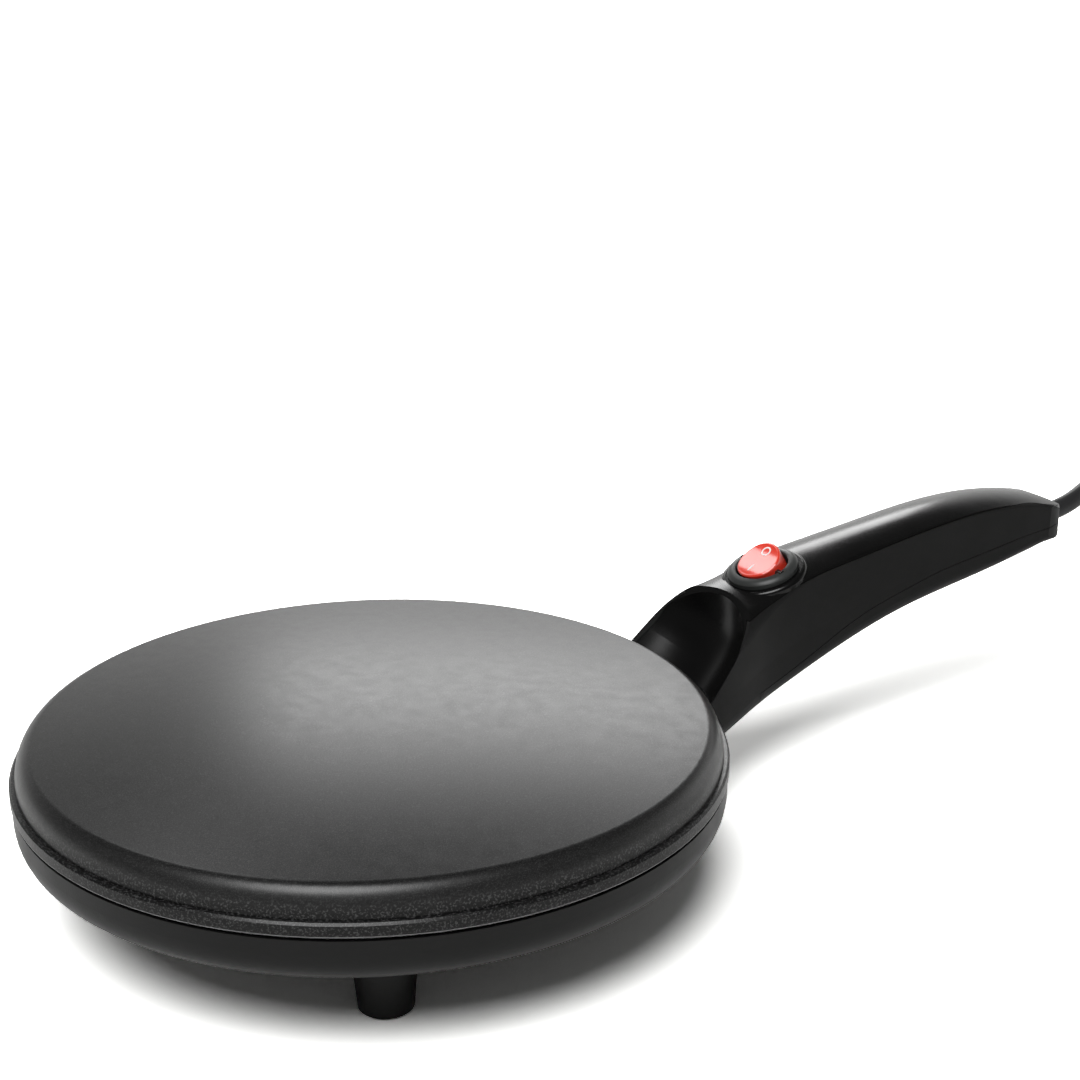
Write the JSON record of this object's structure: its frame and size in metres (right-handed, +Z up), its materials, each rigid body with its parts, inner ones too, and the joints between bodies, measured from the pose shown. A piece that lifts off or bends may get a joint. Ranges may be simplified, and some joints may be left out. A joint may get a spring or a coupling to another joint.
{
  "type": "electric crepe maker",
  "caption": "Hand-held electric crepe maker: a convex non-stick hot plate on a footed base, a curved handle with a lit rocker switch, and a mains lead that ends in a plug.",
  "frame": {"origin": "on the surface it stands on, under the middle of the body, measured along its length and without the lead", "axes": "+Z up; +X along the handle, from the plate to the nose; +Y to the left of the handle seen from the plate"},
  "size_m": [0.4567, 0.2277, 0.074],
  "materials": {
    "plate_coating": "satin non-stick coating with fine metal speckle",
    "element_steel": "heat-tinted satin",
    "ceramic": "matte",
    "steel": "satin, zinc plated",
    "screw_steel": "satin",
    "thermostat_body": "satin",
    "fuse_body": "satin",
    "base_plastic": "satin black",
    "rubber": "matte",
    "satin_plastic": "satin black, fine texture",
    "gloss_plastic": "high gloss black",
    "bezel_plastic": "gloss black",
    "rocker_red": "translucent red, glossy",
    "lamp_glass": "clear",
    "brass": "satin, nickel tinted",
    "clamp_plastic": "satin",
    "cord_jacket": "satin black PVC",
    "plug_plastic": "satin black",
    "wire_brown": "satin",
    "wire_blue": "satin",
    "wire_red": "satin"
  },
  "bodies": {
    "cooker": {"base_housing": "base_plastic", "cooking_plate": "plate_coating", "cord_clamp": "clamp_plastic", "cord_clamp_screws": "screw_steel", "crimp_connectors": "brass", "element_clip_screws": "screw_steel", "element_clips": "steel", "element_pins": "steel", "element_seals": "ceramic", "foot_handle_side": "base_plastic", "foot_left": "base_plastic", "foot_pads": "rubber", "foot_right": "base_plastic", "foot_screws": "screw_steel", "fuse_clip": "steel", "fuse_clip_screw": "screw_steel", "handle_body": "satin_plastic", "handle_bottom_cover": "satin_plastic", "handle_screws": "screw_steel", "handle_top_cover": "gloss_plastic", "heat_shield": "steel", "heating_element": "element_steel", "indicator_lamp": "lamp_glass", "neck_screws": "screw_steel", "plate_screws": "screw_steel", "plug_body": "plug_plastic", "plug_pins": "brass", "power_cord": "cord_jacket", "power_cord_coil": "cord_jacket", "power_cord_inner": "cord_jacket", "power_cord_tail": "cord_jacket", "strain_relief": "cord_jacket", "switch_body": "bezel_plastic", "switch_terminals": "brass", "thermal_fuse": "fuse_body", "thermostat": "thermostat_body", "thermostat_bracket": "steel", "thermostat_screws": "screw_steel", "wire_fuse": "wire_red", "wire_live": "wire_brown", "wire_neutral": "wire_blue", "wire_switched": "wire_red", "wire_thermostat": "wire_red"},
    "rocker": {"rocker_button": "rocker_red"}
  },
  "joints": [
    {"name": "rocker_tilt", "type": "hinge", "parent": "cooker", "child": "rocker", "pos_m": [0.0549, 0, 0.0668], "axis": [0, 1, 0], "range_deg": [0, 34]}
  ]
}
